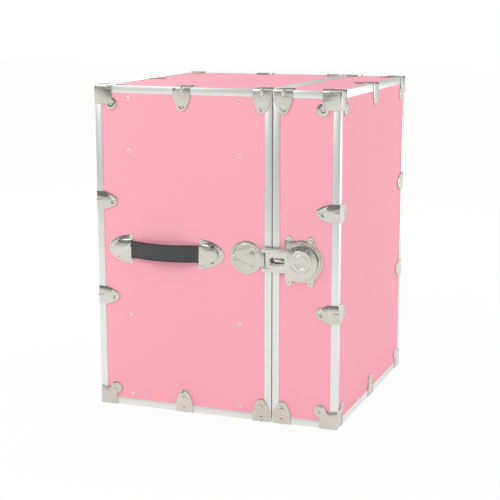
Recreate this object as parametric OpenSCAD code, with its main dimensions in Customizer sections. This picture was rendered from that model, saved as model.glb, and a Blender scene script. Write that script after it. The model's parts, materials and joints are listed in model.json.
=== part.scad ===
// Locker cabinet built like a travel trunk: a deep plywood body and a shallow door,
// both covered in laminate, edged with aluminium and held by stamped corner caps and
// edge clamps. The door hinges on the far side and a hasp closes it on the near side.
// Origin: middle of the footprint, on the floor. +X is the way the door's face looks,
// -Y the side with the hasp, +Y the side with the hinges.

/* [Case] */
// Width over the edge angles, back of the body to face of the door
case_w = 628; // [560:1:760]
// Depth over the edge angles, hasp side to hinge side
case_d = 602; // [500:1:740]
// Height over the edge angles
case_h = 808; // [680:1:980]
// Width of the body, from its back to the middle of the seam
body_w = 462; // [430:1:480]
// Gap between the two rims at the seam
seam_gap = 2; // [1:0.5:3]

/* [Walls] */
// Thickness of the plywood panels
ply_t = 9.5; // [6:0.5:12]
// Thickness of the laminate outside
skin_t = 1; // [0.6:0.1:1.5]
// Thickness of the lining inside
lining_t = 0.8; // [0.4:0.1:1.2]

/* [Edge metal] */
// Leg of the aluminium edge angles
trim_leg = 17.5; // [12:0.5:20]
// Thickness of the angles and of the rim flanges
trim_t = 1.2; // [0.8:0.1:1.6]
// Width of the rim's outer flange
rim_w = 18; // [14:0.5:20]
// Thickness of the rim's web across the panel edges
rim_web = 1.6; // [1:0.1:2.5]
// Width of the rim's inner flange
rim_inner_w = 10; // [6:0.5:14]
// Reach of the door's dust lip into the body
lip_reach = 8; // [4:0.5:10]
// Distance the angles stop short of each corner
trim_stop = 20; // [18:1:30]

/* [Caps and clamps] */
// Distance caps and clamps stand proud of the edge angles
proud = 2; // [1.5:0.1:3]
// Side of a corner cap, from the corner
cap_side = 44; // [36:1:50]
// Distance of a corner cap's rivet from both edges
cap_rivet = 42.7; // [36:0.1:48]
// Radius of a corner cap's ear
cap_ear_r = 15; // [12:0.5:18]
// Width of an edge clamp
clamp_w = 45.5; // [36:0.5:52]
// Length of a clamp's leg, from the edge
clamp_len = 56; // [50:1:64]
// Distance of a clamp's rivet from the edge
clamp_rivet = 43.9; // [38:0.1:48]
// Distance of the paired clamps from the middle of a vertical edge
clamp_dz = 121; // [90:1:160]
// Distance of the seam clamps from the middle of the seam
seam_clamp_off = 26.5; // [25:0.5:32]
// Outer radius of caps and clamps over an edge
edge_r = 4.5; // [3.5:0.1:4.8]

/* [Rivets] */
// Radius of a rivet's head
head_r = 4.3; // [3:0.1:5]
// Height of a rivet's head
head_h = 1.5; // [1:0.1:2]
// Radius of a rivet's shank
shank_r = 1.6; // [1.2:0.1:2]
// Radius of the clinched end
tail_r = 3.2; // [2.5:0.1:4]
// Thickness of the clinched end
tail_h = 1; // [0.6:0.1:1.5]
// Depth of the dimple that a cap's or clamp's rivet sits in
dimple = 1.6; // [1.5:0.1:2]

/* [Handles] */
// Distance of the handle's middle from the body's back
handle_x = 185; // [175:1:200]
// Height of the handles and of the lock above the bottom edge
hardware_z = 406; // [300:1:500]
// Width of the strap
strap_w = 42; // [32:1:46]
// Thickness of the strap
strap_t = 4; // [3:0.5:5]
// Length of strap that shows between the caps
strap_open = 181; // [150:1:200]
// Rise of the strap's middle over its ends
strap_rise = 18; // [12:1:26]
// Length of a handle cap from its mouth to its tip
handle_cap_len = 64; // [58:1:70]
// Width of a handle cap
handle_cap_w = 74; // [68:1:84]

/* [Hasp and lock] */
// Distance of the hasp's pin from the body's back
hasp_axis_x = 442; // [436:0.5:444]
// Width of the hasp
hasp_w = 57; // [46:1:60]
// Thickness of the hasp's plate
hasp_t = 2.5; // [2:0.1:3]
// Height of the hasp's back face above the laminate
hasp_back = 12; // [11:0.1:15]
// Radius of the hasp's round head
hasp_head_r = 41; // [34:0.5:44]
// Radius of the hasp's knuckles
hasp_knuckle_r = 5.5; // [4.5:0.1:6]
// Radius of the hasp's pin
hasp_pin_r = 2; // [1.5:0.1:2.5]
// Radius of the round hinge plate
hinge_plate_r = 40.8; // [34:0.2:42]
// Distance of the lock's middle from the door's face
lock_x = 90; // [84:0.5:96]
// Radius of the lock's base plate
lock_r = 51; // [48:0.5:54]
// Radius of the staple's wire
staple_r = 2; // [1.5:0.1:2.2]

/* [Hinges] */
// Height of a door hinge
hinge_h = 50; // [40:1:70]
// Length of a hinge leaf from the pin
hinge_leaf = 44; // [42:1:48]
// Thickness of a hinge leaf
hinge_t = 2; // [1.5:0.1:2.5]
// Radius of a hinge's knuckles
hinge_knuckle_r = 4.5; // [4:0.1:5]
// Radius of a hinge pin
hinge_pin_r = 2.2; // [1.5:0.1:2.5]
// Distance of the upper and lower hinge from the middle one
hinge_dz = 256; // [180:1:290]

/* [Inside] */
// Distance of the back pair of shelf standards from the body's back
standard_back_x = 88; // [80:0.5:92]
// Distance of the front pair of shelf standards from the body's back
standard_front_x = 378; // [377:0.5:384]
// Width of a shelf standard
standard_w = 16; // [14:1:18]
// Depth of a shelf standard
standard_d = 5; // [4:0.5:7]
// Pitch of the slots in a shelf standard
slot_pitch = 25.4; // [20:0.1:32]
// Thickness of a shelf
shelf_t = 12; // [9:0.5:19]
// Height of the lower shelf's underside above the bottom edge
lower_shelf_z = 262; // [220:1:280]
// Height of the upper shelf's underside above the bottom edge
upper_shelf_z = 536; // [520:1:600]

/* [Hidden] */
$fn = 48;

over = 1;                                  // how far a cut runs past the solid
run_clear = 0.05;                          // radial clearance of pins and shanks
seat_clear = 0.3;                          // gap between neighbours that don't bear

laminate = "#f8afbd";
plywood = "#c9a26d";
lining_colour = "#e7e2d8";
aluminium = "#d5d8d2";
nickel = "#cdc8bc";
leather = "#3c3f3d";

// Walls, measured inwards from the edge angles' outer faces
ply_out = trim_t + skin_t;
ply_in = ply_out + ply_t;
wall_in = ply_in + lining_t;
wall_t = skin_t + ply_t + lining_t;
rim_in = wall_in + 1;
hole_r = shank_r + run_clear;

// The body and the door are two trays: each runs from its closed end at x = 0 to its rim at x = depth
body_depth = body_w - seam_gap / 2;
door_depth = case_w - body_w - seam_gap / 2;
seam_mid = seam_clamp_off - seam_gap / 2;
body_clamps_x = [body_w / 2, body_depth - seam_mid];
door_clamps_x = [door_depth - seam_mid];

// Shelf standards: heights of their rivets above the bottom edge
standard_rivets_z = [29, 237, case_h - 158, case_h - 29];
standard_end = 12;
standard_wall = 1;

// Handle: a row of rivets across the cap's mouth, one through the strap, one at the tip
mouth_x = strap_open / 2;
cap_ear = [mouth_x + 3.5, 31.5];
cap_strap_rivet = mouth_x + 8;
cap_tip_rivet = mouth_x + handle_cap_len - 7.2;
handle_cap_t = 1.5;
hood_w = strap_w + 7;
hood_h = 9.5;
strap_base = 6;
pocket_end = mouth_x + 40;
strap_end = mouth_x + 36;

// Hasp: its axis, and where it reaches the lock
hasp_axis_out = hasp_back + hasp_t - hasp_knuckle_r;
hasp_reach = case_w - lock_x - hasp_axis_x;
tongue_w = 34;
hasp_notch = 8;
hasp_pin_reach = hasp_w / 2 + 0.5;
hinge_plate_x = hasp_axis_x - hinge_plate_r - 4.7;
hinge_plate_spots = [[-30.5, 0], [20, 18], [20, -18]];
plate_t = 1.6;
boss_top = 4;
arm_top = 6;

// Lock base plate: middle at the origin, +x towards the seam
lock_clip = 44;
lock_ear_r = 8;
lock_spots = [[33.5, 53], [33.5, -53], [-21, 53], [-21, -53]];
lock_tongue_w = 28;
lock_boss_r = 36;
lock_boss_top = 9;
staple_x = 58;
staple_half = 10;
staple_bend = 4;
staple_top = hasp_back - 0.4;
slot_len = 39;
slot_h = 15;

// Hinges: height of the axis above the laminate
hinge_out = trim_t + hinge_knuckle_r + 0.2;
hinge_seat = trim_t + hinge_t;
hinge_knuckle_h = hinge_h / 3;
hinge_spots = [[24, hinge_h * 0.32], [24, -hinge_h * 0.32], [36, 0]];
hinge_heights = [hardware_z + hinge_dz, hardware_z, hardware_z - hinge_dz];

// ---- places ----

module in_body() {
  translate([-case_w / 2, 0, proud]) children();
}

module in_door() {
  translate([case_w / 2, 0, proud]) mirror([1, 0, 0]) children();
}

// On each face the laminate is the plane z = 0 and +z points out of the case
module near_face() {
  translate([0, -case_d / 2 + trim_t, 0]) rotate([90, 0, 0]) children();
}

module far_face() {
  mirror([0, 1, 0]) near_face() children();
}

module end_face() {
  translate([trim_t, 0, 0]) rotate([90, 0, -90]) children();
}

module top_face() {
  translate([0, 0, case_h - trim_t]) children();
}

module bottom_face() {
  translate([0, 0, trim_t]) mirror([0, 0, 1]) children();
}

module both_sides() {
  children();
  mirror([0, 1, 0]) children();
}

module both_levels() {
  children();
  translate([0, 0, case_h]) mirror([0, 0, 1]) children();
}

module spots(points) {
  for (p = points) translate([p[0], p[1], 0]) children();
}

// An edge's own frame: the edge runs along x, the case fills y > 0 and z > 0
module along_x(x) {
  translate([x, -case_d / 2, 0]) children();
}

module along_z(z) {
  translate([0, -case_d / 2, z])
    multmatrix([[0, 1, 0, 0], [0, 0, 1, 0], [1, 0, 0, 0], [0, 0, 0, 1]]) children();
}

module along_y(y) {
  translate([0, y, 0])
    multmatrix([[0, 0, 1, 0], [1, 0, 0, 0], [0, 1, 0, 0], [0, 0, 0, 1]]) children();
}

// ---- rivets and their holes ----

function side_spots(clamps_x) = concat(
  [for (z = [cap_rivet, case_h - cap_rivet]) [cap_rivet, z]],
  [for (z = [-clamp_dz, clamp_dz]) [clamp_rivet, case_h / 2 + z]],
  [for (x = clamps_x, z = [clamp_rivet, case_h - clamp_rivet]) [x, z]]
);

function level_spots(clamps_x) = concat(
  [for (s = [-1, 1]) [cap_rivet, s * (case_d / 2 - cap_rivet)]],
  [[clamp_rivet, 0]],
  [for (x = clamps_x, s = [-1, 1]) [x, s * (case_d / 2 - clamp_rivet)]]
);

end_spots = concat(
  [for (s = [-1, 1], z = [cap_rivet, case_h - cap_rivet]) [s * (case_d / 2 - cap_rivet), z]],
  [for (s = [-1, 1], z = [-clamp_dz, clamp_dz]) [s * (case_d / 2 - clamp_rivet), case_h / 2 + z]],
  [for (z = [clamp_rivet, case_h - clamp_rivet]) [0, z]]
);

standard_spots = [for (x = [standard_back_x, standard_front_x], z = standard_rivets_z) [x, z]];
handle_mouth_spots = [for (s = [-1, 1], t = [-1, 1])
  [handle_x + s * cap_ear[0], hardware_z + t * cap_ear[1]]];
handle_strap_spots = [for (s = [-1, 1]) [handle_x + s * cap_strap_rivet, hardware_z]];
handle_tip_spots = [for (s = [-1, 1]) [handle_x + s * cap_tip_rivet, hardware_z]];
handle_spots = concat(handle_mouth_spots, handle_strap_spots, handle_tip_spots);
hasp_plate_spots = [for (p = hinge_plate_spots) [hinge_plate_x + p[0], hardware_z + p[1]]];
lock_plate_spots = [for (p = lock_spots) [lock_x + p[0], hardware_z + p[1]]];

function leaf_spots(depth) =
  [for (z = hinge_heights, p = hinge_spots) [depth + seam_gap / 2 - p[0], z + p[1]]];

body_near_spots = concat(side_spots(body_clamps_x), standard_spots, handle_spots, hasp_plate_spots);
body_far_spots = concat(side_spots(body_clamps_x), standard_spots, handle_spots,
  leaf_spots(body_depth));
door_near_spots = concat(side_spots(door_clamps_x), lock_plate_spots);
door_far_spots = concat(side_spots(door_clamps_x), leaf_spots(door_depth));

// A rivet from its head, seated above the laminate, to its clinched end inside
module rivet(seat, packing = 0) {
  inner = -wall_t - packing;
  translate([0, 0, seat]) cylinder(r1 = head_r, r2 = head_r * 0.65, h = head_h);
  translate([0, 0, inner]) cylinder(r = shank_r, h = seat - inner);
  translate([0, 0, inner - tail_h]) cylinder(r = tail_r, h = tail_h);
}

module wall_holes(points) {
  spots(points) translate([0, 0, -wall_t - over]) cylinder(r = hole_r, h = wall_t + 2 * over);
}

module body_holes() {
  near_face() wall_holes(body_near_spots);
  far_face() wall_holes(body_far_spots);
  top_face() wall_holes(level_spots(body_clamps_x));
  bottom_face() wall_holes(level_spots(body_clamps_x));
  end_face() wall_holes(end_spots);
}

module door_holes() {
  near_face() wall_holes(door_near_spots);
  far_face() wall_holes(door_far_spots);
  top_face() wall_holes(level_spots(door_clamps_x));
  bottom_face() wall_holes(level_spots(door_clamps_x));
  end_face() wall_holes(end_spots);
}

module trim_rivets(clamps_x) {
  seat = trim_t + proud - dimple;
  both_sides() near_face() spots(side_spots(clamps_x)) rivet(seat);
  top_face() spots(level_spots(clamps_x)) rivet(seat);
  bottom_face() spots(level_spots(clamps_x)) rivet(seat);
  end_face() spots(end_spots) rivet(seat);
}

// ---- walls of a tray ----

module box_at(low, high) {
  translate(low) cube(high - low);
}

module side_board(depth) {
  box_at([ply_out, -case_d / 2 + ply_out, ply_in],
    [depth - rim_web, -case_d / 2 + ply_in, case_h - ply_in]);
}

module level_board(depth) {
  box_at([ply_out, -case_d / 2 + ply_out, ply_out],
    [depth - rim_web, case_d / 2 - ply_out, ply_in]);
}

module end_board() {
  box_at([ply_out, -case_d / 2 + ply_in, ply_in], [ply_in, case_d / 2 - ply_in, case_h - ply_in]);
}

module skins(depth) {
  both_sides() box_at([ply_out, -case_d / 2 + trim_t, ply_out],
    [depth - rim_web, -case_d / 2 + ply_out, case_h - ply_out]);
  both_levels() box_at([ply_out, -case_d / 2 + ply_out, trim_t],
    [depth - rim_web, case_d / 2 - ply_out, ply_out]);
  box_at([trim_t, -case_d / 2 + ply_out, ply_out], [ply_out, case_d / 2 - ply_out, case_h - ply_out]);
}

module linings(depth) {
  both_sides() box_at([wall_in, -case_d / 2 + ply_in, wall_in],
    [depth - rim_web, -case_d / 2 + wall_in, case_h - wall_in]);
  both_levels() box_at([wall_in, -case_d / 2 + ply_in, ply_in],
    [depth - rim_web, case_d / 2 - ply_in, wall_in]);
  box_at([ply_in, -case_d / 2 + ply_in, ply_in], [wall_in, case_d / 2 - ply_in, case_h - ply_in]);
}

// ---- edge metal ----

// An angle along an edge, in the edge's own frame
module angle(length) {
  cube([length, trim_leg, trim_t]);
  cube([length, trim_t, trim_leg]);
}

module edge_trims(depth) {
  both_sides() both_levels() along_x(trim_stop) angle(depth - rim_w - trim_stop);
  both_sides() along_z(trim_stop) angle(case_h - 2 * trim_stop);
  both_levels() along_y(-case_d / 2 + trim_stop) angle(case_d - 2 * trim_stop);
}

// A square ring round the case: from x_low to x_high, and from outer to inner inside it
module ring(x_low, x_high, outer, inner) {
  difference() {
    box_at([x_low, -case_d / 2 + outer, outer], [x_high, case_d / 2 - outer, case_h - outer]);
    box_at([x_low - over, -case_d / 2 + inner, inner],
      [x_high + over, case_d / 2 - inner, case_h - inner]);
  }
}

// Channel that caps the panel edges: outer flange, web and inner flange
module rim(depth) {
  ring(depth - rim_w, depth, 0, trim_t);
  ring(depth - rim_web, depth, 0, rim_in);
  ring(depth - rim_inner_w, depth, wall_in, rim_in);
}

// Lip on the door's rim that closes the seam on every side but the hinge side
module dust_lip() {
  lip_out = rim_in + seat_clear + 0.5;
  lip_in = lip_out + trim_t;
  difference() {
    ring(door_depth - rim_web, door_depth + seam_gap + lip_reach, lip_out, lip_in);
    box_at([0, case_d / 2 - lip_in - over, 0],
      [door_depth + seam_gap + lip_reach + over, case_d / 2, case_h]);
  }
  ring(door_depth - rim_web, door_depth, rim_in, lip_in);
}

// Takes the outer corner off a blank, in an edge's own frame
module corner_cut(length) {
  difference() {
    translate([-length, -proud - over, -proud - over]) cube([2 * length, edge_r + over, edge_r + over]);
    translate([-length - over, edge_r - proud, edge_r - proud]) rotate([0, 90, 0])
      cylinder(r = edge_r, h = 2 * (length + over));
  }
}

// Outline of a bullet w wide: straight from low to s, then drawn in to a tip at l
function bullet(w, s, l, p, q, low) = concat(
  [[-w / 2, low]],
  [for (i = [-10 : 10]) [w / 2 * sin(9 * i), s + (l - s) * pow(1 - pow(abs(sin(9 * i)), p), q)]],
  [[w / 2, low]]
);

module clamp_leg() {
  difference() {
    translate([0, 0, -proud]) linear_extrude(proud + trim_t)
      polygon(bullet(clamp_w, clamp_len * 0.38, clamp_len, 2.3, 1, -proud));
    translate([0, clamp_rivet, -proud - over]) cylinder(r = head_r + 0.7, h = dimple + over);
    translate([0, clamp_rivet, -proud]) cylinder(r = hole_r, h = proud + trim_t + over);
  }
}

// Clamp over an edge. rim_from is where a rim flange starts under it, towards +x
module clamp(rim_from = clamp_w) {
  room = clamp_len + over;
  difference() {
    union() {
      clamp_leg();
      mirror([0, 1, -1]) clamp_leg();
    }
    corner_cut(clamp_w);
    translate([-clamp_w, 0, 0]) angle(2 * clamp_w);
    translate([rim_from, 0, 0]) cube([clamp_w, room, trim_t]);
    translate([rim_from, 0, 0]) cube([clamp_w, trim_t, room]);
  }
}

module clamps(depth, clamps_x) {
  both_sides() both_levels() for (x = clamps_x) along_x(x) clamp(depth - rim_w - x);
  both_sides() for (z = [-clamp_dz, clamp_dz]) along_z(case_h / 2 + z) clamp();
  both_levels() along_y(0) clamp();
}

module cap_plate() {
  difference() {
    translate([0, 0, -proud]) linear_extrude(proud + trim_t) union() {
      translate([-proud, -proud]) square(cap_side + proud);
      translate([cap_rivet, cap_rivet]) circle(r = cap_ear_r);
    }
    translate([cap_rivet, cap_rivet, -proud - over]) cylinder(r = head_r + 0.7, h = dimple + over);
    translate([cap_rivet, cap_rivet, -proud]) cylinder(r = hole_r, h = proud + trim_t + over);
  }
}

// Cap over a corner at the origin; the case fills x, y, z > 0
module corner_cap() {
  turn_y = [[0, 0, 1, 0], [1, 0, 0, 0], [0, 1, 0, 0], [0, 0, 0, 1]];
  turn_z = [[0, 1, 0, 0], [0, 0, 1, 0], [1, 0, 0, 0], [0, 0, 0, 1]];
  reach = cap_side + cap_ear_r + over;
  difference() {
    union() {
      cap_plate();
      multmatrix(turn_y) cap_plate();
      multmatrix(turn_z) cap_plate();
    }
    corner_cut(reach);
    multmatrix(turn_y) corner_cut(reach);
    multmatrix(turn_z) corner_cut(reach);
    translate([trim_stop, 0, 0]) angle(reach);
    multmatrix(turn_y) translate([trim_stop, 0, 0]) angle(reach);
    multmatrix(turn_z) translate([trim_stop, 0, 0]) angle(reach);
  }
}

module corner_caps() {
  both_sides() both_levels() along_x(0) corner_cap();
}

// ---- inside ----

// Slotted channel on the near lining, its middle at x
module standard(x) {
  slots = floor((case_h - 2 * (wall_in + standard_end)) / slot_pitch) - 1;
  low = wall_in + standard_end;
  depth_in = standard_d + over;
  difference() {
    near_face() translate([x - standard_w / 2, low, -wall_t - standard_d])
      cube([standard_w, case_h - 2 * low, standard_d]);
    near_face() translate([x - standard_w / 2 + standard_wall, low - over, -wall_t - depth_in])
      cube([standard_w - 2 * standard_wall, case_h - 2 * low + 2 * over, depth_in - standard_wall]);
    for (i = [1 : slots]) near_face() translate([x - standard_w / 2 - over, low + i * slot_pitch,
      -wall_t - standard_d - over]) cube([standard_w + 2 * over, 2, 2.2 + over]);
    near_face() spots(concat(standard_spots, handle_spots)) translate([0, 0, -wall_t - standard_wall - over])
      cylinder(r = hole_r, h = standard_wall + 2 * over);
  }
}

// Clip against a standard: a tab on its face and a ledge under the shelf
module clip(x, z) {
  face = -wall_t - standard_d;
  ledge = 14;
  near_face() translate([x - standard_w / 2, z - 16, face - 1.2]) cube([standard_w, 16, 1.2]);
  near_face() translate([x - standard_w / 2, z - 1.2, face - ledge]) cube([standard_w, 1.2, ledge]);
}

module shelf(z) {
  side = wall_in + standard_d + 1.5;
  box_at([wall_in + seat_clear, -case_d / 2 + side, z],
    [body_depth - rim_inner_w - lip_reach, case_d / 2 - side, z + shelf_t]);
}

// ---- handle ----

// The strap's middle line: [along, out, slope], from the middle to the mouth of a cap
function strap_line() =
  let (slope = 2 * atan(strap_rise / mouth_x),
       total = mouth_x / sin(slope),
       big = 0.8 * total,
       small = 0.2 * total,
       top = strap_base + strap_rise)
  concat(
    [for (i = [0 : 7]) let (a = slope * i / 8) [big * sin(a), top - big * (1 - cos(a)), a]],
    [for (i = [4 : -1 : 0]) let (a = slope * i / 4)
      [mouth_x - small * sin(a), strap_base + small * (1 - cos(a)), a]],
    [[strap_end, strap_base, 0]]
  );

function strap_side(t) = [for (p = strap_line()) [p[0] + t * sin(p[2]), p[1] + t * cos(p[2])]];
function flipped(points) = [for (i = [len(points) - 1 : -1 : 0]) points[i]];
function left_of(points) = [for (p = points) [-p[0], p[1]]];

module strap() {
  outer = strap_side(strap_t / 2);
  inner = strap_side(-strap_t / 2);
  difference() {
    translate([0, strap_w / 2, 0]) rotate([90, 0, 0]) linear_extrude(strap_w)
      polygon(concat(flipped(left_of(outer)), outer, flipped(inner), left_of(inner)));
    for (s = [-1, 1]) translate([s * cap_strap_rivet, 0, 0])
      cylinder(r = hole_r + seat_clear, h = hood_h);
  }
}

module handle_cap() {
  base = cap_ear[0] + 13;
  pocket_low = strap_base - strap_t / 2 - seat_clear;
  difference() {
    union() {
      linear_extrude(handle_cap_t) union() {
        rotate(-90) polygon(bullet(handle_cap_w, base, mouth_x + handle_cap_len, 2, 0.5, mouth_x));
        for (t = [-1, 1]) translate([cap_ear[0], t * cap_ear[1]]) circle(r = 7);
      }
      linear_extrude(hood_h) rotate(-90)
        polygon(bullet(hood_w, mouth_x + 24, mouth_x + 49, 2, 0.7, mouth_x));
    }
    translate([mouth_x - over, -strap_w / 2 - seat_clear, pocket_low])
      cube([pocket_end - mouth_x + over, strap_w + 2 * seat_clear, strap_t + 2 * seat_clear]);
    for (p = [[cap_ear[0], cap_ear[1]], [cap_ear[0], -cap_ear[1]], [cap_tip_rivet, 0],
      [cap_strap_rivet, 0]]) translate([p[0], p[1], -over]) cylinder(r = hole_r, h = hood_h + 2 * over);
  }
}

module at_handle() {
  near_face() translate([handle_x, hardware_z, 0]) children();
}

// What a rivet at x also holds inside: the wall of a standard, where its hole falls on one
function packing_at(x) =
  min(abs(x - standard_back_x), abs(x - standard_front_x)) < standard_w / 2 ? standard_wall : 0;

// The rivets that fall on the back standard also hold it, so they are longer
module handle_rivets() {
  for (p = handle_mouth_spots) near_face() translate([p[0], p[1], 0])
    rivet(handle_cap_t, packing_at(p[0]));
  for (p = handle_strap_spots) near_face() translate([p[0], p[1], 0])
    rivet(hood_h, packing_at(p[0]));
  near_face() spots(handle_tip_spots) rivet(handle_cap_t);
}

// ---- hasp and lock ----

module at_hasp_axis() {
  near_face() translate([hasp_axis_x, hardware_z, hasp_axis_out]) rotate([90, 0, 0]) children();
}

// Round bar along the pin, centred on the hasp
module pin_bar(r, length) {
  translate([0, 0, -length / 2]) cylinder(r = r, h = length);
}

module hasp_hinge_plate_shape() {
  difference() {
    union() {
      near_face() translate([hinge_plate_x, hardware_z, 0]) {
        cylinder(r = hinge_plate_r, h = plate_t);
        translate([0, 0, plate_t]) cylinder(r1 = 35, r2 = 32, h = boss_top - plate_t);
      }
      near_face() translate([hinge_plate_x, hardware_z - tongue_w / 2, 0])
        cube([hasp_axis_x - hinge_plate_x, tongue_w, arm_top]);
      at_hasp_axis() pin_bar(hasp_knuckle_r, tongue_w);
    }
    near_face() translate([hinge_plate_x - over, hardware_z - tongue_w / 2 - over, boss_top])
      cube([24 + over, tongue_w + 2 * over, arm_top]);
    near_face() spots(hasp_plate_spots) {
      translate([0, 0, 2.2]) cylinder(r = head_r + 0.9, h = arm_top);
      translate([0, 0, -over]) cylinder(r = hole_r, h = arm_top);
    }
    at_hasp_axis() pin_bar(hasp_pin_r + run_clear, tongue_w + 2 * over);
  }
}

module hasp_shape() {
  knuckle_h = (hasp_w - tongue_w) / 2 - 0.4;
  difference() {
    union() {
      near_face() translate([hasp_axis_x, hardware_z, hasp_back]) linear_extrude(hasp_t) union() {
        translate([0, -hasp_w / 2]) square([hasp_reach, hasp_w]);
        translate([hasp_reach, 0]) circle(r = hasp_head_r);
      }
      near_face() translate([hasp_axis_x + hasp_reach, hardware_z, hasp_back + hasp_t])
        cylinder(r1 = hasp_head_r - 3, r2 = hasp_head_r - 12, h = hasp_t);
      at_hasp_axis() for (s = [-1, 1]) translate([0, 0, s * (hasp_w - knuckle_h) / 2])
        pin_bar(hasp_knuckle_r, knuckle_h);
    }
    near_face() translate([hasp_axis_x - hasp_notch, hardware_z - tongue_w / 2 - 0.4, 0])
      cube([2 * hasp_notch, tongue_w + 0.8, hasp_back + hasp_t + over]);
    near_face() translate([hasp_axis_x + hasp_reach, hardware_z, hasp_back - over])
      cylinder(r1 = hasp_head_r - 5, r2 = hasp_head_r - 13, h = hasp_t + over);
    near_face() translate([case_w - lock_x - staple_x, hardware_z, hasp_back - over])
      linear_extrude(hasp_t + 2 * over) union() {
        translate([-(slot_len - slot_h) / 2, -slot_h / 2]) square([slot_len - slot_h, slot_h]);
        for (s = [-1, 1]) translate([s * (slot_len - slot_h) / 2, 0]) circle(r = slot_h / 2);
      }
    at_hasp_axis() pin_bar(hasp_pin_r + run_clear, hasp_w + 2 * over);
  }
}

module hasp_pin_shape() {
  at_hasp_axis() {
    pin_bar(hasp_pin_r, 2 * hasp_pin_reach);
    for (s = [0, 1]) mirror([0, 0, s]) translate([0, 0, hasp_pin_reach])
      cylinder(r1 = hasp_pin_r + 1.6, r2 = hasp_pin_r + 0.6, h = 1.6);
  }
}

module at_lock() {
  near_face() translate([lock_x, hardware_z, 0]) children();
}

module lock_base_shape() {
  tongue_end = door_depth - lock_x - 2;
  flange_from = door_depth - rim_w - lock_x;
  difference() {
    union() {
      linear_extrude(plate_t) intersection() {
        union() {
          circle(r = lock_r);
          translate([-21 - lock_ear_r, -lock_r + 2]) square([lock_clip + 21 + lock_ear_r, 2 * lock_r - 4]);
          for (p = lock_spots) translate(p) circle(r = lock_ear_r);
        }
        translate([-2 * lock_r, -2 * lock_r]) square([2 * lock_r + lock_clip, 4 * lock_r]);
      }
      intersection() {
        union() {
          cylinder(r1 = lock_r - 3, r2 = lock_r - 5, h = 4.5);
          cylinder(r1 = lock_r - 5, r2 = lock_r - 9, h = 6);
        }
        translate([-lock_r, -lock_r, 0]) cube([lock_r + lock_clip - 2, 2 * lock_r, 10]);
      }
      cylinder(r = lock_boss_r, h = lock_boss_top);
      translate([lock_clip - 6, -lock_tongue_w / 2, 0])
        cube([tongue_end - lock_clip + 6, lock_tongue_w, trim_t + plate_t]);
    }
    translate([flange_from, -lock_r, -over]) cube([rim_w, 2 * lock_r, trim_t + over]);
    spots(lock_spots) translate([0, 0, -over]) cylinder(r = hole_r, h = plate_t + 2 * over);
    for (s = [-1, 1]) translate([staple_x + s * staple_half, 0, -over])
      cylinder(r = staple_r + run_clear, h = 10);
  }
}

// Wire staple: two legs, two bends and a crown just under the hasp
module staple_shape() {
  mid = staple_top - staple_r;
  for (s = [0, 1]) mirror([s, 0, 0]) {
    translate([staple_half, 0, trim_t]) cylinder(r = staple_r, h = mid - staple_bend - trim_t);
    translate([staple_half - staple_bend, 0, mid - staple_bend]) rotate([90, 0, 0])
      rotate_extrude(angle = 90) translate([staple_bend, 0]) circle(r = staple_r);
    translate([-0.01, 0, mid]) rotate([0, 90, 0])
      cylinder(r = staple_r, h = staple_half - staple_bend + 0.01);
  }
}

// ---- door hinges ----

// At the axis of a hinge: x into this tray from the pin, z out of the far side
module at_hinge(depth, z) {
  far_face() translate([depth + seam_gap / 2, z, 0]) mirror([1, 0, 0]) children();
}

// Leaf with the knuckles in the given thirds of its height (0, 1, 2 from the bottom)
module hinge_leaf_shape(thirds) {
  flange_end = seam_gap / 2 + rim_w;
  difference() {
    union() {
      translate([hinge_knuckle_r + 0.7, -hinge_h / 2, 0])
        cube([hinge_leaf - hinge_knuckle_r - 0.7, hinge_h, hinge_seat]);
      for (i = thirds) translate([0, (i - 1.5) * hinge_knuckle_h + 0.15, 0]) {
        translate([0, 0, hinge_out]) rotate([-90, 0, 0])
          cylinder(r = hinge_knuckle_r, h = hinge_knuckle_h - 0.3);
        translate([seam_gap / 2 + 0.2, 0, trim_t])
          cube([hinge_knuckle_r + 1, hinge_knuckle_h - 0.3, hinge_t]);
      }
    }
    translate([-over, -hinge_h / 2 - over, -over])
      cube([flange_end + over, hinge_h + 2 * over, trim_t + over]);
    translate([0, -hinge_h / 2 - over, hinge_out]) rotate([-90, 0, 0])
      cylinder(r = hinge_pin_r + run_clear, h = hinge_h + 2 * over);
    spots(hinge_spots) translate([0, 0, -over]) cylinder(r = hole_r, h = hinge_seat + 2 * over);
  }
}

module hinge_pin_shape() {
  translate([0, -hinge_h / 2, hinge_out]) rotate([-90, 0, 0]) cylinder(r = hinge_pin_r, h = hinge_h);
  for (s = [0, 1]) mirror([0, s, 0]) translate([0, hinge_h / 2, hinge_out]) rotate([-90, 0, 0])
    cylinder(r1 = hinge_pin_r + 1.4, r2 = hinge_pin_r + 0.5, h = 1.4);
}

// ---- the sub-parts: body ----

module body_back_panel() {
  color(plywood) in_body() difference() {
    end_board();
    end_face() wall_holes(end_spots);
  }
}

module body_near_panel() {
  color(plywood) in_body() difference() {
    side_board(body_depth);
    near_face() wall_holes(body_near_spots);
  }
}

module body_far_panel() {
  color(plywood) in_body() difference() {
    mirror([0, 1, 0]) side_board(body_depth);
    far_face() wall_holes(body_far_spots);
  }
}

module body_top_panel() {
  color(plywood) in_body() difference() {
    translate([0, 0, case_h]) mirror([0, 0, 1]) level_board(body_depth);
    top_face() wall_holes(level_spots(body_clamps_x));
  }
}

module body_bottom_panel() {
  color(plywood) in_body() difference() {
    level_board(body_depth);
    bottom_face() wall_holes(level_spots(body_clamps_x));
  }
}

module body_skins() {
  color(laminate) in_body() difference() {
    skins(body_depth);
    body_holes();
  }
}

module body_linings() {
  color(lining_colour) in_body() difference() {
    linings(body_depth);
    body_holes();
  }
}

module body_edge_trims() {
  color(aluminium) in_body() edge_trims(body_depth);
}

module body_rim() {
  color(aluminium) in_body() rim(body_depth);
}

module body_corner_caps() {
  color(nickel) in_body() corner_caps();
}

module body_edge_clamps() {
  color(nickel) in_body() clamps(body_depth, body_clamps_x);
}

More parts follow.
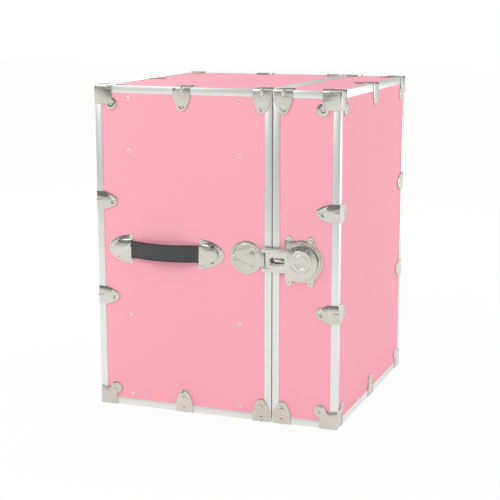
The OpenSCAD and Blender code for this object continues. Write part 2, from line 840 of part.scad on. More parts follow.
module body_trim_rivets() {
  color(nickel) in_body() trim_rivets(body_clamps_x);
}

module near_back_standard() {
  color(aluminium) in_body() standard(standard_back_x);
}

module near_front_standard() {
  color(aluminium) in_body() standard(standard_front_x);
}

module far_back_standard() {
  color(aluminium) in_body() mirror([0, 1, 0]) standard(standard_back_x);
}

module far_front_standard() {
  color(aluminium) in_body() mirror([0, 1, 0]) standard(standard_front_x);
}

module standard_rivets() {
  color(nickel) in_body() both_sides() near_face() spots(standard_spots) rivet(0, standard_wall);
}

module shelf_clips() {
  color(nickel) in_body() both_sides()
    for (x = [standard_back_x, standard_front_x], z = [lower_shelf_z, upper_shelf_z]) clip(x, z);
}

module lower_shelf() {
  color(plywood) in_body() shelf(lower_shelf_z);
}

module upper_shelf() {
  color(plywood) in_body() shelf(upper_shelf_z);
}

module near_handle_strap() {
  color(leather) in_body() at_handle() strap();
}

module near_handle_back_cap() {
  color(nickel) in_body() at_handle() mirror([1, 0, 0]) handle_cap();
}

module near_handle_front_cap() {
  color(nickel) in_body() at_handle() handle_cap();
}

module near_handle_rivets() {
  color(nickel) in_body() handle_rivets();
}

module far_handle_strap() {
  mirror([0, 1, 0]) near_handle_strap();
}

module far_handle_back_cap() {
  mirror([0, 1, 0]) near_handle_back_cap();
}

module far_handle_front_cap() {
  mirror([0, 1, 0]) near_handle_front_cap();
}

module far_handle_rivets() {
  mirror([0, 1, 0]) near_handle_rivets();
}

module hasp_hinge_plate() {
  color(nickel) in_body() hasp_hinge_plate_shape();
}

module hasp_plate_rivets() {
  color(nickel) in_body() near_face() spots(hasp_plate_spots) rivet(2.2);
}

module hasp_pin() {
  color(nickel) in_body() hasp_pin_shape();
}

module hasp() {
  color(nickel) in_body() hasp_shape();
}

module body_leaf(z) {
  color(nickel) in_body() at_hinge(body_depth, z) hinge_leaf_shape([0, 2]);
}

module hinge_pin(z) {
  color(nickel) in_body() at_hinge(body_depth, z) hinge_pin_shape();
}

module upper_hinge_body_leaf() {
  body_leaf(hinge_heights[0]);
}

module middle_hinge_body_leaf() {
  body_leaf(hinge_heights[1]);
}

module lower_hinge_body_leaf() {
  body_leaf(hinge_heights[2]);
}

module upper_hinge_pin() {
  hinge_pin(hinge_heights[0]);
}

module middle_hinge_pin() {
  hinge_pin(hinge_heights[1]);
}

module lower_hinge_pin() {
  hinge_pin(hinge_heights[2]);
}

module hinge_body_rivets() {
  color(nickel) in_body() far_face() spots(leaf_spots(body_depth)) rivet(hinge_seat);
}

// ---- the sub-parts: door ----

module door_face_panel() {
  color(plywood) in_door() difference() {
    end_board();
    end_face() wall_holes(end_spots);
  }
}

module door_near_panel() {
  color(plywood) in_door() difference() {
    side_board(door_depth);
    near_face() wall_holes(door_near_spots);
  }
}

module door_far_panel() {
  color(plywood) in_door() difference() {
    mirror([0, 1, 0]) side_board(door_depth);
    far_face() wall_holes(door_far_spots);
  }
}

module door_top_panel() {
  color(plywood) in_door() difference() {
    translate([0, 0, case_h]) mirror([0, 0, 1]) level_board(door_depth);
    top_face() wall_holes(level_spots(door_clamps_x));
  }
}

module door_bottom_panel() {
  color(plywood) in_door() difference() {
    level_board(door_depth);
    bottom_face() wall_holes(level_spots(door_clamps_x));
  }
}

module door_skins() {
  color(laminate) in_door() difference() {
    skins(door_depth);
    door_holes();
  }
}

module door_linings() {
  color(lining_colour) in_door() difference() {
    linings(door_depth);
    door_holes();
  }
}

module door_edge_trims() {
  color(aluminium) in_door() edge_trims(door_depth);
}

module door_rim() {
  color(aluminium) in_door() {
    rim(door_depth);
    dust_lip();
  }
}

module door_corner_caps() {
  color(nickel) in_door() corner_caps();
}

module door_edge_clamps() {
  color(nickel) in_door() clamps(door_depth, door_clamps_x);
}

module door_trim_rivets() {
  color(nickel) in_door() trim_rivets(door_clamps_x);
}

module door_leaf(z) {
  color(nickel) in_door() at_hinge(door_depth, z) hinge_leaf_shape([1]);
}

module upper_hinge_door_leaf() {
  door_leaf(hinge_heights[0]);
}

module middle_hinge_door_leaf() {
  door_leaf(hinge_heights[1]);
}

module lower_hinge_door_leaf() {
  door_leaf(hinge_heights[2]);
}

module hinge_door_rivets() {
  color(nickel) in_door() far_face() spots(leaf_spots(door_depth)) rivet(hinge_seat);
}

module lock_base_plate() {
  color(nickel) in_door() at_lock() lock_base_shape();
}

module padlock_staple() {
  color(nickel) in_door() at_lock() translate([staple_x, 0, 0]) staple_shape();
}

module lock_plate_rivets() {
  color(nickel) in_door() near_face() spots(lock_plate_spots) rivet(plate_t);
}

body_back_panel();
body_near_panel();
body_far_panel();
body_top_panel();
body_bottom_panel();
body_skins();
body_linings();
body_edge_trims();
body_rim();
body_corner_caps();
body_edge_clamps();
body_trim_rivets();
near_back_standard();
near_front_standard();
far_back_standard();
far_front_standard();
standard_rivets();
shelf_clips();
lower_shelf();
upper_shelf();
near_handle_strap();
near_handle_back_cap();
near_handle_front_cap();
near_handle_rivets();
far_handle_strap();
far_handle_back_cap();
far_handle_front_cap();
far_handle_rivets();
hasp_hinge_plate();
hasp_plate_rivets();
hasp_pin();
hasp();
upper_hinge_body_leaf();
middle_hinge_body_leaf();
lower_hinge_body_leaf();
upper_hinge_pin();
middle_hinge_pin();
lower_hinge_pin();
hinge_body_rivets();
door_face_panel();
door_near_panel();
door_far_panel();
door_top_panel();
door_bottom_panel();
door_skins();
door_linings();
door_edge_trims();
door_rim();
door_corner_caps();
door_edge_clamps();
door_trim_rivets();
upper_hinge_door_leaf();
middle_hinge_door_leaf();
lower_hinge_door_leaf();
hinge_door_rivets();
lock_base_plate();
padlock_staple();
lock_plate_rivets();
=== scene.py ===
"""Looks of the trunk-built locker cabinet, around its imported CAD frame. Lengths are in metres."""
import json
import math

import bmesh
import bpy
from mathutils import Matrix, Vector


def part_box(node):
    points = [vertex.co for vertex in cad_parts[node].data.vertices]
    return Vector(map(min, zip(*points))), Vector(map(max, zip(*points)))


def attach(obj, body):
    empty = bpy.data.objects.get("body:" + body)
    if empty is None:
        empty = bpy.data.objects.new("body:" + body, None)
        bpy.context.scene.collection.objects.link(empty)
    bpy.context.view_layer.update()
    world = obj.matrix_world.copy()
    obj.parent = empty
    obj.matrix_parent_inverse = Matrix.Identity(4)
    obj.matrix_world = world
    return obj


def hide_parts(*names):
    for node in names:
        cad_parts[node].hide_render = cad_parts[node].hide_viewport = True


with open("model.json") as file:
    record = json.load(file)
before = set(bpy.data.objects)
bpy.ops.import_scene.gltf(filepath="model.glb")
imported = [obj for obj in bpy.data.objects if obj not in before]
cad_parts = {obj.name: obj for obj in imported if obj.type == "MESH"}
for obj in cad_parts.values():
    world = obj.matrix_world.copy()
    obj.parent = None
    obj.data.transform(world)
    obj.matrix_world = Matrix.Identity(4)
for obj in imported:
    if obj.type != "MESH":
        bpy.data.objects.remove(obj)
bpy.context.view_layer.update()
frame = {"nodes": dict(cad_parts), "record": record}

MM = 0.001
CASE_LOW, CASE_HIGH = (Vector(corner) for corner in (
    [min(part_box(n)[0][i] for n in ("body_corner_caps", "door_corner_caps")) for i in range(3)],
    [max(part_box(n)[1][i] for n in ("body_corner_caps", "door_corner_caps")) for i in range(3)]))
MIDDLE = (CASE_LOW + CASE_HIGH) / 2
HARDWARE_Z = sum(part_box("near_handle_strap")[i][2] for i in (0, 1)) / 2
SEAM_X = next(j["pos_m"][0] for j in frame["record"]["behaviour"]["joints"] if j["name"] == "door_swing")
SEAM_GAP = 2 * MM
BODY_OF = {node: body for body, nodes in frame["record"]["behaviour"]["bodies"].items() for node in nodes}

RIVET_HEAD_R = 4.3 * MM
RIVET_HEAD_H = 1.5 * MM
RIVET_BORE_R = 1.6 * MM


# ---- shader maths ----

def add_node(tree, kind, settings=None, inputs=None, output=0, stops=None):
    """Adds a node, sets it up and joins its inputs, and returns one of its outputs as a Wire."""
    node = tree.nodes.new(kind)
    for key, value in (settings or {}).items():
        setattr(node, key, value)
    if stops:
        ramp = node.color_ramp.elements
        while len(ramp) < len(stops):
            ramp.new(0.5)
        for element, (place, colour) in zip(ramp, stops):
            element.position = place
            element.color = (*colour, 1) if isinstance(colour, tuple) else (colour, colour, colour, 1)
    for key, value in (inputs or {}).items():
        if isinstance(value, Wire):
            tree.links.new(value.socket, node.inputs[key])
        else:
            node.inputs[key].default_value = value
    return Wire(tree, node.outputs[output])


class Wire:
    """A number in a node tree; Python's operators on it add Math nodes."""

    def __init__(self, tree, socket):
        self.tree = tree
        self.socket = socket

    def math(self, operation, first, second=0.0):
        return add_node(self.tree, "ShaderNodeMath", {"operation": operation}, {0: first, 1: second})

    def __add__(self, other):
        return self.math("ADD", self, other)

    def __sub__(self, other):
        return self.math("SUBTRACT", self, other)

    def __rsub__(self, other):
        return self.math("SUBTRACT", other, self)

    def __mul__(self, other):
        return self.math("MULTIPLY", self, other)

    __radd__ = __add__
    __rmul__ = __mul__

    def size(self):
        return self.math("ABSOLUTE", self)

    def above(self, limit):
        return self.math("GREATER_THAN", self, limit)

    def eased(self, low, high):
        """0 below low, 1 above high, and smooth between."""
        return add_node(self.tree, "ShaderNodeMapRange", {"interpolation_type": "SMOOTHSTEP"},
                        {"Value": self, "From Min": low, "From Max": high})


class Finish:
    """A material under construction, on Object coordinates."""

    def __init__(self, name, roughness=0.5, metallic=0.0):
        self.material = bpy.data.materials.new(name)
        self.material.use_nodes = True
        self.tree = self.material.node_tree
        self.shader = self.tree.nodes["Principled BSDF"]
        self.shader.inputs["Roughness"].default_value = roughness
        self.shader.inputs["Metallic"].default_value = metallic

    def node(self, kind, settings=None, inputs=None, output=0, stops=None):
        return add_node(self.tree, kind, settings, inputs, output, stops)

    def place(self, scale=(1, 1, 1)):
        spot = self.node("ShaderNodeTexCoord", output=3)
        return self.node("ShaderNodeMapping", None, {"Vector": spot, "Scale": scale})

    def noise(self, scale, detail=2.0, stretch=(1, 1, 1), rough=0.5):
        return self.node("ShaderNodeTexNoise", None, {
            "Vector": self.place(stretch), "Scale": scale, "Detail": detail, "Roughness": rough})

    def cells(self, scale, stretch=(1, 1, 1), feature="F1", output=0):
        return self.node("ShaderNodeTexVoronoi", {"feature": feature}, {
            "Vector": self.place(stretch), "Scale": scale}, output)

    def axis(self, index):
        spot = self.node("ShaderNodeTexCoord", output=3)
        return self.node("ShaderNodeSeparateXYZ", None, {0: spot}, index)

    def blend(self, amount, first, second):
        def filled(colour):
            return colour if isinstance(colour, Wire) else (*colour, 1)
        return self.node("ShaderNodeMix", {"data_type": "RGBA"},
                         {0: amount, 6: filled(first), 7: filled(second)}, 2)

    def bumped(self, height, distance, strength=1.0):
        normal = self.node("ShaderNodeBump", None,
                           {"Height": height, "Distance": distance, "Strength": strength})
        self.feed("Normal", normal)

    def feed(self, name, value):
        self.tree.links.new(value.socket, self.shader.inputs[name])


# ---- finishes ----

def laminate():
    f = Finish("pink_laminate")
    cloud = f.noise(5, 3)
    peel = f.noise(420, 3, rough=0.6)
    specks = f.noise(60, 4)
    tone = f.blend(cloud, (0.925, 0.405, 0.482), (0.955, 0.435, 0.510))
    f.feed("Base Color", f.blend(specks.eased(0.62, 0.8) * 0.25, tone, (0.965, 0.48, 0.55)))
    f.feed("Roughness", 0.46 + cloud * 0.10 + peel * 0.06)
    f.bumped(peel + specks * 0.6, 0.00022, 0.35)
    f.shader.inputs["Specular IOR Level"].default_value = 0.02
    return f.material


def nickel(name="bright_nickel", tint=(0.72, 0.705, 0.645), dull=0.0, stretch=(0.06, 1, 1), brush=0.05,
           metal=1.0):
    """Warm nickel plate over pressed steel: slightly wavy, hazed in places, with fine polishing lines."""
    f = Finish(name, metallic=metal)
    cloud = f.noise(28, 3)
    haze = f.noise(9, 2)
    hair = f.noise(700, 2, stretch=stretch)
    aged = (tint[0] * 0.90, tint[1] * 0.89, tint[2] * 0.86)
    f.feed("Base Color", f.blend(haze.eased(0.35, 0.75), tint, aged))
    f.feed("Roughness", 0.08 + dull + cloud * 0.12 + hair * brush)
    wave = f.noise(75, 2)
    f.bumped(wave + cloud * 0.5 + hair * 0.12, 0.0011, 0.5)
    return f.material


def painted_bore_shade():
    # Painted shade and painted dark reflection: a near-black colour for the inside of each rivet's open bore;
    # the noise only varies it.
    f = Finish("painted_bore_shade")
    shade_mottle = f.noise(300, 3)
    f.feed("Base Color", f.blend(shade_mottle, (0.012, 0.011, 0.010), (0.045, 0.042, 0.036)))
    f.feed("Roughness", 0.6 + shade_mottle * 0.3)
    return f.material


def aluminium(along):
    """Extruded aluminium, its die lines running along one axis (0, 1 or 2)."""
    f = Finish("aluminium_" + "xyz"[along], metallic=1.0)
    stretch = [1, 1, 1]
    stretch[along] = 0.012
    lines = f.noise(900, 3, stretch=tuple(stretch))
    cloud = f.noise(14, 2)
    f.feed("Base Color", f.blend(cloud * 0.6 + lines * 0.4, (0.84, 0.86, 0.81), (0.90, 0.91, 0.88)))
    f.feed("Roughness", 0.27 + lines * 0.16 + cloud * 0.06)
    f.bumped(lines, 0.00012, 0.5)
    return f.material


def strap_leather(name, middle):
    """Dark strap leather with a fine grain and a creased line near each edge; painted shade darkens its edges
    and the creases.
    """
    f = Finish(name)
    grain = f.cells(520, feature="DISTANCE_TO_EDGE")
    pores = f.noise(1500, 2)
    wave = f.noise(26, 3)
    off = (f.axis(2) - middle).size()
    crease = 1 - (off - 0.0165).size().eased(0.0, 0.0011)
    edge_shade = off.eased(0.0165, 0.0205)
    body = f.blend(wave, (0.066, 0.073, 0.069), (0.098, 0.106, 0.098))
    body = f.blend(grain.eased(0.0, 0.35), (0.034, 0.036, 0.035), body)
    # Painted shade: the colour darkens towards near-black along the strap's edges and in its two crease
    # lines.
    f.feed("Base Color", f.blend(edge_shade * 0.7 + crease * 0.3, body, (0.018, 0.017, 0.016)))
    f.feed("Roughness", 0.44 + pores * 0.12 + wave * 0.10)
    f.bumped(grain * 1.4 + pores * 0.2 - crease * 0.9, 0.0005, 0.6)
    return f.material


def plywood(name, tone, along):
    """Birch plywood: grain along one axis, and plies that show on the cut edges."""
    f = Finish(name)
    stretch = [1, 1, 1]
    stretch[along] = 0.07
    figure = f.noise(60, 5, stretch=tuple(stretch), rough=0.6)
    pore = f.noise(900, 2, stretch=tuple(stretch))
    ply = f.node("ShaderNodeMath", {"operation": "FRACT"}, {0: f.axis(2) * 330})
    dark = tuple(c * 0.66 for c in tone)
    wood = f.blend(figure.eased(0.3, 0.75), tone, dark)
    f.feed("Base Color", f.blend(ply.above(0.5) * 0.22 + pore.eased(0.6, 0.8) * 0.25, wood, dark))
    f.feed("Roughness", 0.42 + figure * 0.2)
    f.bumped(figure * 0.5 + pore, 0.0003, 0.4)
    return f.material


def lining():
    f = Finish("pale_lining")
    fibre = f.noise(260, 4, stretch=(1, 1, 0.35), rough=0.7)
    cloud = f.noise(7, 2)
    f.feed("Base Color", f.blend(fibre * 0.6 + cloud * 0.4, (0.70, 0.665, 0.60), (0.82, 0.79, 0.73)))
    f.feed("Roughness", 0.62 + fibre * 0.2)
    f.bumped(fibre, 0.00035, 0.5)
    return f.material


def zinc():
    f = Finish("zinc_plate", metallic=1.0)
    spangle = f.cells(160, output=0)
    cloud = f.noise(30, 3)
    f.feed("Base Color", f.blend(spangle.eased(0.0, 0.9), (0.55, 0.56, 0.56), (0.72, 0.72, 0.70)))
    f.feed("Roughness", 0.30 + cloud * 0.2)
    f.bumped(cloud, 0.0002, 0.3)
    return f.material


LAMINATE = laminate()
NICKEL = nickel()
HASP_NICKEL = nickel("hasp_nickel", (0.72, 0.705, 0.65), 0.02)
HINGE_NICKEL = nickel("hinge_nickel", (0.72, 0.705, 0.66), 0.08)
BRUSHED_NICKEL = nickel("brushed_nickel", (0.72, 0.705, 0.64), 0.05, (1, 1, 0.03), 0.16)
# Rivet heads: a near-white, half-metal tint, a painted highlight that makes each dome read as a bright ring;
# their bores get a near-black painted shade.
RIVET_NICKEL_PAINTED_HIGHLIGHT = nickel("rivet_nickel_painted_highlight", (0.96, 0.955, 0.93), 0.16, metal=0.5)
BORE_SHADE = painted_bore_shade()
ALUMINIUM = [aluminium(i) for i in range(3)]
LINING = lining()
ZINC = zinc()
SHELF_WOOD = plywood("shelf_plywood", (0.66, 0.47, 0.28), 1)
WALL_WOOD = plywood("wall_plywood", (0.58, 0.40, 0.22), 2)
LEATHER = strap_leather("strap_leather", HARDWARE_Z)


# ---- modelling helpers ----

def alone(obj):
    bpy.ops.object.select_all(action="DESELECT")
    obj.select_set(True)
    bpy.context.view_layer.objects.active = obj


def settled(name):
    """Names the primitive just added, and moves its place into its mesh."""
    obj = bpy.context.active_object
    obj.name = name
    alone(obj)
    bpy.ops.object.transform_apply(location=True, rotation=True, scale=True)
    return obj


def block(name, low, high):
    low, high = Vector(low), Vector(high)
    bpy.ops.mesh.primitive_cube_add(size=1, location=(low + high) / 2)
    bpy.context.active_object.scale = high - low
    return settled(name)


def edit(obj):
    alone(obj)
    bpy.ops.object.mode_set(mode="EDIT")


def leave():
    bpy.ops.object.mode_set(mode="OBJECT")


def turned(name, profile, sides=72):
    """A round piece about z, its top drawn in and up or down along a profile of (radius, height)."""
    bpy.ops.mesh.primitive_circle_add(vertices=sides, radius=profile[0][0], fill_type="NGON",
                                      location=(0, 0, profile[0][1]))
    obj = settled(name)
    edit(obj)
    bpy.ops.mesh.select_all(action="SELECT")
    for (r0, z0), (r1, z1) in zip(profile, profile[1:]):
        bpy.ops.mesh.extrude_region_move(TRANSFORM_OT_translate={"value": (0, 0, z1 - z0)})
        grow = r1 / r0
        bpy.ops.transform.resize(value=(grow, grow, 1), center_override=(0, 0, z1))
    bpy.ops.mesh.select_all(action="SELECT")
    bpy.ops.mesh.normals_make_consistent(inside=False)
    leave()
    return obj


def plate(name, outline, low, high):
    """A flat piece of the given outline (x, y), from height low to height high."""
    bpy.ops.mesh.primitive_circle_add(vertices=len(outline), radius=1, fill_type="NGON")
    obj = settled(name)
    for vertex, (x, y) in zip(obj.data.vertices, outline):
        vertex.co = (x, y, low)
    edit(obj)
    bpy.ops.mesh.select_all(action="SELECT")
    bpy.ops.mesh.extrude_region_move(TRANSFORM_OT_translate={"value": (0, 0, high - low)})
    bpy.ops.mesh.select_all(action="SELECT")
    bpy.ops.mesh.normals_make_consistent(inside=False)
    leave()
    return obj


def apply(obj, kind, **settings):
    alone(obj)
    modifier = obj.modifiers.new(kind.lower(), kind)
    for key, value in settings.items():
        setattr(modifier, key, value)
    bpy.ops.object.modifier_apply(modifier=modifier.name)
    return obj


def combined(obj, *others, cut=False):
    """Joins others into obj as one solid, or cuts them out of it."""
    for other in others:
        apply(obj, "BOOLEAN", operation="DIFFERENCE" if cut else "UNION", solver="EXACT", object=other)
        bpy.data.objects.remove(other, do_unlink=True)
    return obj


def rounded(obj, width, segments=2, angle=30):
    return apply(obj, "BEVEL", width=width, segments=segments, limit_method="ANGLE",
                 angle_limit=math.radians(angle), miter_outer="MITER_ARC", use_clamp_overlap=True,
                 harden_normals=False)


def smooth(obj, angle=35):
    alone(obj)
    bpy.ops.object.shade_smooth_by_angle(angle=math.radians(angle), keep_sharp_edges=False)
    return obj


def moved(obj, matrix):
    obj.data.transform(matrix)
    if matrix.to_3x3().determinant() < 0:
        obj.data.flip_normals()
    obj.data.update()
    return obj


def copied(obj, name, matrix):
    twin = obj.copy()
    twin.data = obj.data.copy()
    twin.name = name
    bpy.context.collection.objects.link(twin)
    return moved(twin, matrix)


def joined(name, pieces):
    bpy.ops.object.select_all(action="DESELECT")
    for piece in pieces:
        piece.select_set(True)
    bpy.context.view_layer.objects.active = pieces[0]
    if len(pieces) > 1:
        bpy.ops.object.join()
    pieces[0].name = name
    pieces[0].data.name = name
    return pieces[0]


def painted(obj, *materials):
    obj.data.materials.clear()
    for material in materials:
        obj.data.materials.append(material)
    return obj


def stands_for(piece, node):
    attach(piece, BODY_OF[node])
    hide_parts(node)
    return piece


def frame_at(origin, x_way, y_way, z_way):
    matrix = Matrix((x_way, y_way, z_way)).transposed().to_4x4()
    matrix.translation = origin
    return matrix


def merged_copy(node, name):
    """A copy of a CAD node with its loose triangles merged and its flat faces whole again."""
    source = frame["nodes"][node]
    twin = source.copy()
    twin.data = source.data.copy()
    twin.name = name
    for tag in list(twin.keys()):
        del twin[tag]
    twin.parent = None
    twin.hide_viewport = twin.hide_render = False
    bpy.context.collection.objects.link(twin)
    twin.matrix_world = Matrix.Identity(4)
    edit(twin)
    bpy.ops.mesh.select_all(action="SELECT")
    bpy.ops.mesh.remove_doubles(threshold=1e-6)
    bpy.ops.mesh.dissolve_limited(angle_limit=math.radians(1), use_dissolve_boundaries=False)
    leave()
    return twin


def islands(node):
    """The boxes of a CAD node's separate solids."""
    twin = merged_copy(node, "islands")
    shape = bmesh.new()
    shape.from_mesh(twin.data)
    bpy.data.objects.remove(twin, do_unlink=True)
    boxes, seen = [], set()
    for start in shape.verts:
        if start.index in seen:
            continue
        seen.add(start.index)
        group, queue = [], [start]
        while queue:
            vertex = queue.pop()
            group.append(vertex.co.copy())
            for edge in vertex.link_edges:
                other = edge.other_vert(vertex)
                if other.index not in seen:
                    seen.add(other.index)
                    queue.append(other)
        boxes.append((Vector([min(p[i] for p in group) for i in range(3)]),
                      Vector([max(p[i] for p in group) for i in range(3)])))
    shape.free()
    return boxes


def outer_signs(low, high):
    """For each axis: -1 or 1 where the box reaches that side of the case, else 0."""
    near = 0.6 * MM
    return [-1 if low[i] < CASE_LOW[i] + near else 1 if high[i] > CASE_HIGH[i] - near else 0
            for i in range(3)]


def unit(index, sign=1):
    way = Vector((0, 0, 0))
    way[index] = sign
    return way


def edge_frame(low, high, along):
    """At a box on an edge of the case: x along the edge, y and z inwards from the two faces."""
    signs = outer_signs(low, high)
    first, second = (along + 1) % 3, (along + 2) % 3
    origin = (low + high) / 2
    for i in (first, second):
        origin[i] = CASE_LOW[i] if signs[i] < 0 else CASE_HIGH[i]
    return frame_at(origin, unit(along), unit(first, -signs[first]), unit(second, -signs[second]))


# ---- pressed and extruded parts: the CAD shapes with their edges broken ----

def softened(node, slot, width, *materials, segments=2, limit=30):
    piece = merged_copy(node, node + "_finish")
    rounded(piece, width, segments, limit)
    smooth(piece)
    painted(piece, *materials)
    return stands_for(piece, node)


def grain_along_lengths(piece, boxes):
    """Gives each straight length in a piece the aluminium whose die lines run along it."""
    slack = 0.1 * MM
    for face in piece.data.polygons:
        home = next((b for b in boxes if all(b[0][i] - slack <= face.center[i] <= b[1][i] + slack
                                             for i in range(3))), boxes[0])
        size = home[1] - home[0]
        face.material_index = max(range(3), key=lambda i: size[i])


def grain_round_rim(piece):
    low, high = (Vector(c) for c in (piece.bound_box[0], piece.bound_box[6]))
    for face in piece.data.polygons:
        at = face.center
        y_gap = min(at.y - low.y, high.y - at.y)
        z_gap = min(at.z - low.z, high.z - at.z)
        face.material_index = 2 if y_gap < z_gap else 1


def rim_bead(name, node, seam_x, inward):
    """The raised bead that runs round a rim beside the seam."""
    low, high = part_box(node)
    middle, half, rise, sunk = seam_x + inward * 1.9 * MM, 1.0 * MM, 0.7 * MM, 0.5 * MM
    outer = block(name, (middle - half, low.y - rise, low.z - rise),
                  (middle + half, high.y + rise, high.z + rise))
    inner = block("bead_core", (middle - 2 * half, low.y + sunk, low.z + sunk),
                  (middle + 2 * half, high.y - sunk, high.z - sunk))
    bead = combined(outer, inner, cut=True)
    rounded(bead, 0.6 * MM, 3)
    smooth(bead, 50)
    painted(bead, *ALUMINIUM)
    bead.data.update()
    grain_round_rim(bead)
    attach(bead, BODY_OF[node])


def fold_ribs(name, node):
    """The stiffening rib pressed into the fold of each edge clamp; it stands up on the near and far faces."""
    half, leg, nose, skin, rise = 3.4 * MM, 17 * MM, 1.6 * MM, 1.6 * MM, 0.9 * MM
    nose_arc = [(nose * (1 - math.sin(a)), nose * (1 - math.cos(a))) for a in
                [math.radians(15 * i) for i in range(7)]]
    outline = [(leg, 1.3 * MM), (leg - 4 * MM, 0.1 * MM), *nose_arc,
               (0.1 * MM, leg - 4 * MM), (1.3 * MM, leg), (skin, leg), (4 * MM, 4 * MM), (leg, skin)]
    master = plate("fold_rib", outline, -half, half)
    rounded(master, 0.5 * MM, 2, 40)
    smooth(master, 45)
    pieces = []
    for low, high in islands(node):
        signs = outer_signs(low, high)
        edge = edge_frame(low, high, signs.index(0))
        edge.translation.y += signs[1] * rise
        turn = Matrix(((0, 0, 1), (1, 0, 0), (0, 1, 0))).to_4x4()
        pieces.append(copied(master, name, edge @ turn))
    bpy.data.objects.remove(master, do_unlink=True)
    ribs = joined(name, pieces)
    painted(ribs, NICKEL)
    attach(ribs, BODY_OF[node])


# ---- rivets ----

RIVET_MASTERS = {}


def rivet_master(length):
    """A tubular rivet with its head's top at the origin: tail, shank, domed head and open bore."""
    if length not in RIVET_MASTERS:
        base, tail = -RIVET_HEAD_H, -length
        profile = [(3.2 * MM, tail), (3.2 * MM, tail + 0.6 * MM), (1.6 * MM, tail + 0.7 * MM),
                   (1.6 * MM, base), (RIVET_HEAD_R, base), (RIVET_HEAD_R * 0.98, base + 0.5 * MM),
                   (3.6 * MM, -0.3 * MM), (2.6 * MM, 0), (RIVET_BORE_R, -0.15 * MM),
                   (RIVET_BORE_R - 0.2 * MM, -1.0 * MM)]
        master = turned("rivet", profile, 18)
        smooth(master, 60)
        painted(master, RIVET_NICKEL_PAINTED_HIGHLIGHT, BORE_SHADE)
        # The faces inside the open bore take the near-black painted shade; the rest takes the rivet head's
        # colour.
        for face in master.data.polygons:
            at = face.center
            face.material_index = int(at.z > base and math.hypot(at.x, at.y) < RIVET_BORE_R)
        RIVET_MASTERS[length] = master
    return RIVET_MASTERS[length]


def rivets(node):
    pieces = []
    for low, high in islands(node):
        size = high - low
        axis = max(range(3), key=lambda i: size[i])
        head = (low + high) / 2
        sign = 1 if head[axis] > MIDDLE[axis] else -1
        head[axis] = high[axis] if sign > 0 else low[axis]
        master = rivet_master(round(size[axis], 4))
        at = frame_at(head, unit((axis + 1) % 3), unit((axis + 2) % 3, sign), unit(axis, sign))
        pieces.append(copied(master, node + "_finish", at))
    stands_for(joined(node + "_finish", pieces), node)


# ---- the hasp's head ----

def hasp_rings():
    """Shallow turned rings on the hasp's round head."""
    low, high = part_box("hasp")
    head_r = 41 * MM
    rings = turned("hasp_rings", [(x * MM, z * MM) for x, z in (
        (28.4, -0.4), (28.4, 0.15), (27.8, 0.5), (26.0, 0.5), (25.2, 0.15), (17.6, 0.08),
        (17.0, 0.4), (15.4, 0.4), (14.8, 0.08))], 96)
    rounded(rings, 0.12 * MM, 2, 20)
    smooth(rings, 30)
    centre = Vector((high.x - head_r, low.y, (low.z + high.z) / 2))
    moved(rings, frame_at(centre, unit(0), unit(2), unit(1, -1)))
    painted(rings, HASP_NICKEL)
    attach(rings, "hasp")


# ---- building the looks ----

def finish_case(side, seam_x, inward):
    painted(frame["nodes"][f"{side}_skins"], LAMINATE)
    painted(frame["nodes"][f"{side}_linings"], LINING)
    for node in frame["nodes"]:
        if node.startswith(side) and node.endswith("_panel"):
            painted(frame["nodes"][node], WALL_WOOD)
    trims = softened(f"{side}_edge_trims", "aluminium", 0.35 * MM, *ALUMINIUM)
    grain_along_lengths(trims, islands(f"{side}_edge_trims"))
    grain_round_rim(softened(f"{side}_rim", "aluminium", 0.3 * MM, *ALUMINIUM))
    rim_bead(f"{side}_rim_bead", f"{side}_rim", seam_x, inward)
    softened(f"{side}_corner_caps", "nickel", 0.55 * MM, NICKEL)
    softened(f"{side}_edge_clamps", "nickel", 0.45 * MM, NICKEL)
    fold_ribs(f"{side}_fold_ribs", f"{side}_edge_clamps")
    rivets(f"{side}_trim_rivets")


def finish_inside():
    for node in ("near_back_standard", "near_front_standard", "far_back_standard", "far_front_standard"):
        softened(node, "standard_metal", 0.3 * MM, ALUMINIUM[2])
    softened("shelf_clips", "standard_metal", 0.2 * MM, ZINC)
    for node in ("lower_shelf", "upper_shelf"):
        softened(node, "shelf_board", 1.2 * MM, SHELF_WOOD, segments=3)
    rivets("standard_rivets")


def narrowed_to_tip(cap, strap_box):
    """Draws a handle cap in towards its tip, away from the strap, so that it ends in a shield's point."""
    low, high = (Vector(c) for c in (cap.bound_box[0], cap.bound_box[6]))
    strap_x, middle_z = (strap_box[0].x + strap_box[1].x) / 2, (low.z + high.z) / 2
    mouth, tip = sorted((low.x, high.x), key=lambda x: abs(x - strap_x))
    for vertex in cap.data.vertices:
        along = (vertex.co.x - mouth) / (tip - mouth)
        vertex.co.z = middle_z + (vertex.co.z - middle_z) * (1 - 0.2 * along)


def finish_handles():
    for side in ("near", "far"):
        strap_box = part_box(f"{side}_handle_strap")
        softened(f"{side}_handle_strap", "leather", 1.2 * MM, LEATHER, segments=3, limit=50)
        for end in ("back", "front"):
            cap = softened(f"{side}_handle_{end}_cap", "nickel", 0.5 * MM, HASP_NICKEL, segments=3)
            narrowed_to_tip(cap, strap_box)
        rivets(f"{side}_handle_rivets")


def finish_lock():
    softened("hasp_hinge_plate", "nickel", 0.45 * MM, BRUSHED_NICKEL, segments=3)
    softened("hasp", "nickel", 0.6 * MM, HASP_NICKEL, segments=3)
    softened("lock_base_plate", "nickel", 0.45 * MM, HASP_NICKEL, segments=3)
    softened("hasp_pin", "nickel", 0.4 * MM, HINGE_NICKEL)
    softened("padlock_staple", "nickel", 0.2 * MM, HASP_NICKEL, limit=60)
    rivets("hasp_plate_rivets")
    rivets("lock_plate_rivets")
    hasp_rings()


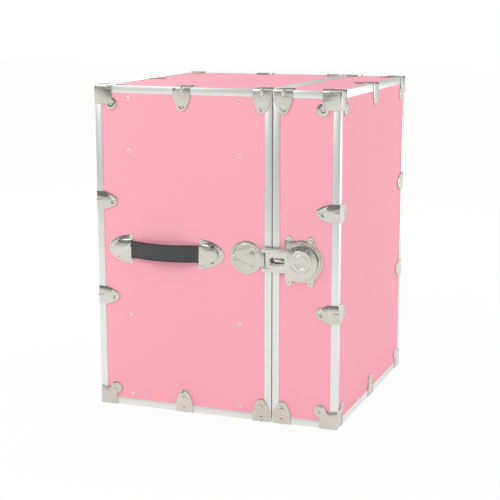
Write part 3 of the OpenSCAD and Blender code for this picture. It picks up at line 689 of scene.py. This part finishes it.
def finish_hinges():
    for level in ("upper", "middle", "lower"):
        for part in ("body_leaf", "door_leaf", "pin"):
            softened(f"{level}_hinge_{part}", "nickel", 0.35 * MM, HINGE_NICKEL)
    rivets("hinge_body_rivets")
    rivets("hinge_door_rivets")


finish_case("body", SEAM_X - SEAM_GAP / 2, -1)
finish_case("door", SEAM_X + SEAM_GAP / 2, 1)
finish_inside()
finish_handles()
finish_lock()
finish_hinges()
for leftover in RIVET_MASTERS.values():
    bpy.data.objects.remove(leftover, do_unlink=True)


# ---- studio ----

def studio_floor():
    bpy.ops.mesh.primitive_plane_add(size=30, location=(0, 0, -0.0004))
    floor = settled("studio_floor")
    f = Finish("pale_floor", roughness=0.9)
    mottle = f.noise(1.2, 3)
    f.feed("Base Color", f.blend(mottle, (0.86, 0.86, 0.86), (0.90, 0.90, 0.90)))
    rays = f.node("ShaderNodeLightPath")
    seen = rays + f.node("ShaderNodeLightPath", output=3) * 0.6
    white = f.node("ShaderNodeEmission", None, {"Color": (1, 1, 1, 1), "Strength": 1.0})
    mixed = f.node("ShaderNodeMixShader", None, {0: seen * 0.94, 2: white})
    f.tree.links.new(f.shader.outputs[0], mixed.socket.node.inputs[1])
    f.tree.links.new(mixed.socket, f.tree.nodes["Material Output"].inputs["Surface"])
    painted(floor, f.material)


def studio_world():
    """White to the camera; to the object, a soft room with darker walls low down."""
    world = bpy.data.worlds.new("studio")
    bpy.context.scene.world = world
    world.use_nodes = True
    tree = world.node_tree
    way = add_node(tree, "ShaderNodeTexCoord", output=0)
    height = add_node(tree, "ShaderNodeSeparateXYZ", None, {0: way}, 2)
    shade = add_node(tree, "ShaderNodeValToRGB", None, {0: height * 0.5 + 0.5}, stops=[
        (0.0, 0.85), (0.48, 0.60), (0.52, 0.16), (0.60, 0.24), (0.68, 0.85), (0.82, 1.0)])
    glossy = add_node(tree, "ShaderNodeLightPath", output=3)
    camera = add_node(tree, "ShaderNodeLightPath")
    tone = add_node(tree, "ShaderNodeMix", {"data_type": "RGBA"}, {0: glossy, 6: (1, 1, 1, 1), 7: shade}, 2)
    room = add_node(tree, "ShaderNodeBackground", None, {"Color": tone, "Strength": WORLD_LEVEL})
    white = add_node(tree, "ShaderNodeBackground", None, {"Color": (1, 1, 1, 1), "Strength": 1.0})
    mixed = add_node(tree, "ShaderNodeMixShader", None, {0: camera, 1: room, 2: white})
    tree.links.new(mixed.socket, tree.nodes["World Output"].inputs["Surface"])


def lamp(name, at, size, power):
    data = bpy.data.lights.new(name, "AREA")
    data.shape = "RECTANGLE"
    data.size, data.size_y = size
    data.energy = power
    light = bpy.data.objects.new(name, data)
    bpy.context.collection.objects.link(light)
    light.location = at
    light.rotation_euler = (MIDDLE - Vector(at)).to_track_quat("-Z", "Y").to_euler()


def studio_camera():
    yaw, pitch = math.radians(20.61), math.radians(11.25)
    height = CASE_HIGH.z - CASE_LOW.z
    right = Vector((math.cos(yaw), math.sin(yaw), 0))
    back = Vector((math.sin(yaw) * math.cos(pitch), -math.cos(yaw) * math.cos(pitch), math.sin(pitch)))
    up = back.cross(right)
    place = Vector((0, 0, height / 2)) + height * (4.141 * back - 0.0246 * right - 0.0501 * up)
    data = bpy.data.cameras.new("camera")
    data.lens = 91.65
    data.sensor_width = 36
    camera = bpy.data.objects.new("camera", data)
    bpy.context.collection.objects.link(camera)
    camera.matrix_world = frame_at(place, right, up, back)
    bpy.context.scene.camera = camera


WORLD_LEVEL = 0.88
studio_floor()
studio_world()
lamp("key", (-1.6, -2.6, 2.4), (1.2, 1.2), 25)
lamp("side", (2.4, 2.2, 0.9), (1.0, 1.6), 18)
lamp("back", (-2.2, 2.6, 2.0), (1.6, 1.6), 16)
studio_camera()
bpy.context.scene.view_settings.view_transform = "Standard"
